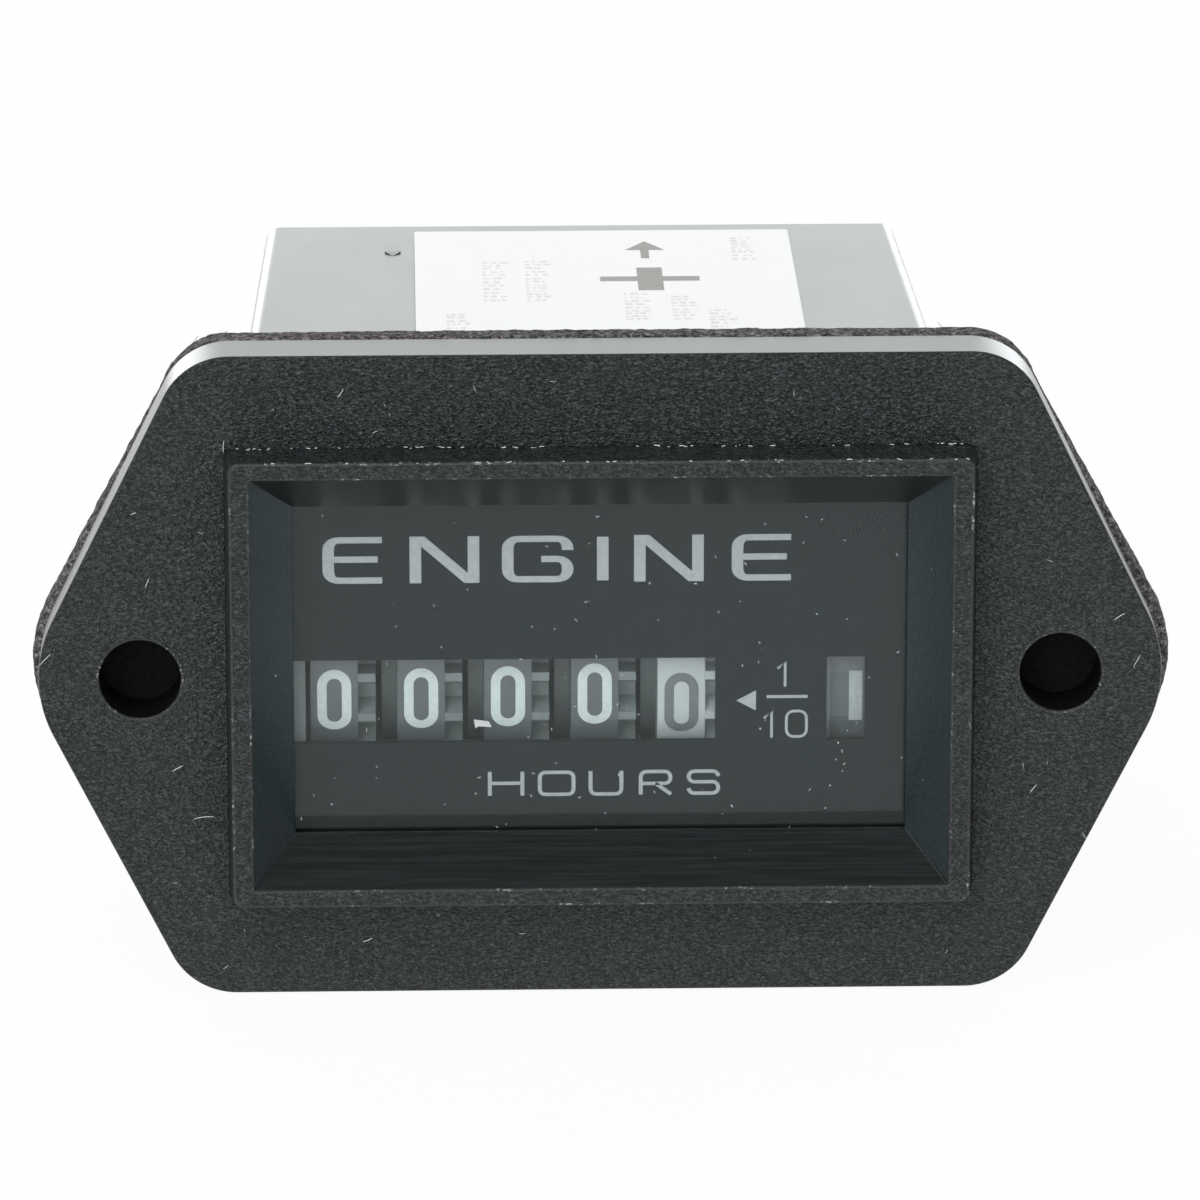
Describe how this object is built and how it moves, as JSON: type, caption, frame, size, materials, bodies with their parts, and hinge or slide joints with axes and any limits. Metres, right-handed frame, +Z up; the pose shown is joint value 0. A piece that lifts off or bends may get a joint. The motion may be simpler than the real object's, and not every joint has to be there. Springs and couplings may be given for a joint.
{
  "type": "hour meter",
  "caption": "Two-hole panel-mounted hour meter with a long six-sided flange, funnel window, geared drum counter, run indicator and rear blade terminals.",
  "frame": {"origin": "on the panel face (rear of the gasket), midway between the two screw holes", "axes": "+X along the flange from the negative to the positive side, +Y into the panel towards the terminals, +Z up as the dial reads"},
  "size_m": [0.0622, 0.0594, 0.0374],
  "materials": {
    "housing_black": "black moulded plastic, finely textured",
    "lens_clear": "clear polished plastic",
    "dial_grey": "dark grey printed plate",
    "gasket_foam": "dark grey-brown fibrous foam rubber",
    "label_white": "white coated label",
    "terminal_brass": "stamped brass",
    "natural_plastic": "natural white acetal",
    "steel": "ground steel",
    "wheel_black": "black moulded wheel with pale figures",
    "wheel_white": "white moulded wheel with dark figures",
    "coil_copper": "enamelled copper wire",
    "board_green": "green laminate",
    "chip_black": "black moulded body",
    "can_tin": "tinned can"
  },
  "bodies": {
    "case": {"front_housing": "housing_black", "lens": "lens_clear", "dial_plate": "dial_grey", "gasket": "gasket_foam", "rating_label": "label_white", "rear_cover": "housing_black", "terminal_positive": "terminal_brass", "terminal_negative": "terminal_brass", "left_plate": "natural_plastic", "middle_plate": "natural_plastic", "right_plate": "natural_plastic", "tie_rod_1": "steel", "tie_rod_2": "steel", "tie_rod_3": "steel", "tie_rod_4": "steel", "number_wheel_shaft": "steel", "pinion_shaft": "steel", "stator_plate": "steel", "coil_core": "steel", "coil_bobbin": "dial_grey", "coil_winding": "coil_copper", "circuit_board": "board_green", "control_chip": "chip_black", "quartz_crystal": "can_tin", "filter_capacitor": "chip_black", "protection_diode": "chip_black", "dropping_resistor": "natural_plastic"},
    "intermediate": {"intermediate_gear": "natural_plastic"},
    "rotor": {"rotor": "steel"},
    "indicator": {"run_indicator": "wheel_black"},
    "drive": {"drive_gear": "terminal_brass"},
    "wheel_tenths": {"number_wheel_tenths": "wheel_white"},
    "wheel_1": {"number_wheel_1": "wheel_black"},
    "wheel_10": {"number_wheel_10": "wheel_black"},
    "wheel_100": {"number_wheel_100": "wheel_black"},
    "wheel_1000": {"number_wheel_1000": "wheel_black"},
    "transfer_4": {"transfer_pinion_4": "natural_plastic"},
    "transfer_3": {"transfer_pinion_3": "natural_plastic"},
    "transfer_2": {"transfer_pinion_2": "natural_plastic"},
    "transfer_1": {"transfer_pinion_1": "natural_plastic"}
  },
  "joints": [
    {"name": "intermediate_spin", "type": "hinge", "parent": "case", "child": "intermediate", "pos_m": [0.0115, 0.01861, 0.00094], "axis": [1, 0, 0], "continuous": true},
    {"name": "rotor_spin", "type": "hinge", "parent": "case", "child": "rotor", "pos_m": [0.0137, 0.02451, -0.00319], "axis": [1, 0, 0], "continuous": true},
    {"name": "indicator_spin", "type": "hinge", "parent": "case", "child": "indicator", "pos_m": [0.01368, 0.00615, -0.0024], "axis": [1, 0, 0], "continuous": true},
    {"name": "drive_spin", "type": "hinge", "parent": "case", "child": "drive", "pos_m": [0.0087, 0.01373, 0.00443], "axis": [1, 0, 0], "continuous": true},
    {"name": "tenths_spin", "type": "hinge", "parent": "case", "child": "wheel_tenths", "pos_m": [0.00458, 0.00615, -0.0024], "axis": [1, 0, 0], "continuous": true},
    {"name": "wheel_1_spin", "type": "hinge", "parent": "case", "child": "wheel_1", "pos_m": [-0.00025, 0.00615, -0.0024], "axis": [1, 0, 0], "continuous": true},
    {"name": "wheel_10_spin", "type": "hinge", "parent": "case", "child": "wheel_10", "pos_m": [-0.00508, 0.00615, -0.0024], "axis": [1, 0, 0], "continuous": true},
    {"name": "wheel_100_spin", "type": "hinge", "parent": "case", "child": "wheel_100", "pos_m": [-0.00991, 0.00615, -0.0024], "axis": [1, 0, 0], "continuous": true},
    {"name": "wheel_1000_spin", "type": "hinge", "parent": "case", "child": "wheel_1000", "pos_m": [-0.01474, 0.00615, -0.0024], "axis": [1, 0, 0], "continuous": true},
    {"name": "transfer_4_spin", "type": "hinge", "parent": "case", "child": "transfer_4", "pos_m": [0.0022, 0.01567, -0.0024], "axis": [1, 0, 0], "continuous": true},
    {"name": "transfer_3_spin", "type": "hinge", "parent": "case", "child": "transfer_3", "pos_m": [-0.0026, 0.01567, -0.0024], "axis": [1, 0, 0], "continuous": true},
    {"name": "transfer_2_spin", "type": "hinge", "parent": "case", "child": "transfer_2", "pos_m": [-0.0075, 0.01567, -0.0024], "axis": [1, 0, 0], "continuous": true},
    {"name": "transfer_1_spin", "type": "hinge", "parent": "case", "child": "transfer_1", "pos_m": [-0.0123, 0.01567, -0.0024], "axis": [1, 0, 0], "continuous": true}
  ],
  "couplings": [
    {"joint": "intermediate_spin", "follows": "rotor_spin", "ratio": -0.2},
    {"joint": "indicator_spin", "follows": "rotor_spin", "ratio": 0.17391},
    {"joint": "drive_spin", "follows": "rotor_spin", "ratio": 0.05},
    {"joint": "tenths_spin", "follows": "rotor_spin", "ratio": -0.025},
    {"joint": "wheel_1_spin", "follows": "rotor_spin", "ratio": -0.0025},
    {"joint": "wheel_10_spin", "follows": "rotor_spin", "ratio": -0.00025},
    {"joint": "wheel_100_spin", "follows": "rotor_spin", "ratio": -0.000025},
    {"joint": "wheel_1000_spin", "follows": "rotor_spin", "ratio": -0.0000025},
    {"joint": "transfer_4_spin", "follows": "rotor_spin", "ratio": 0.00625},
    {"joint": "transfer_3_spin", "follows": "rotor_spin", "ratio": 0.000625},
    {"joint": "transfer_2_spin", "follows": "rotor_spin", "ratio": 0.0000625},
    {"joint": "transfer_1_spin", "follows": "rotor_spin", "ratio": 0.00000625}
  ]
}
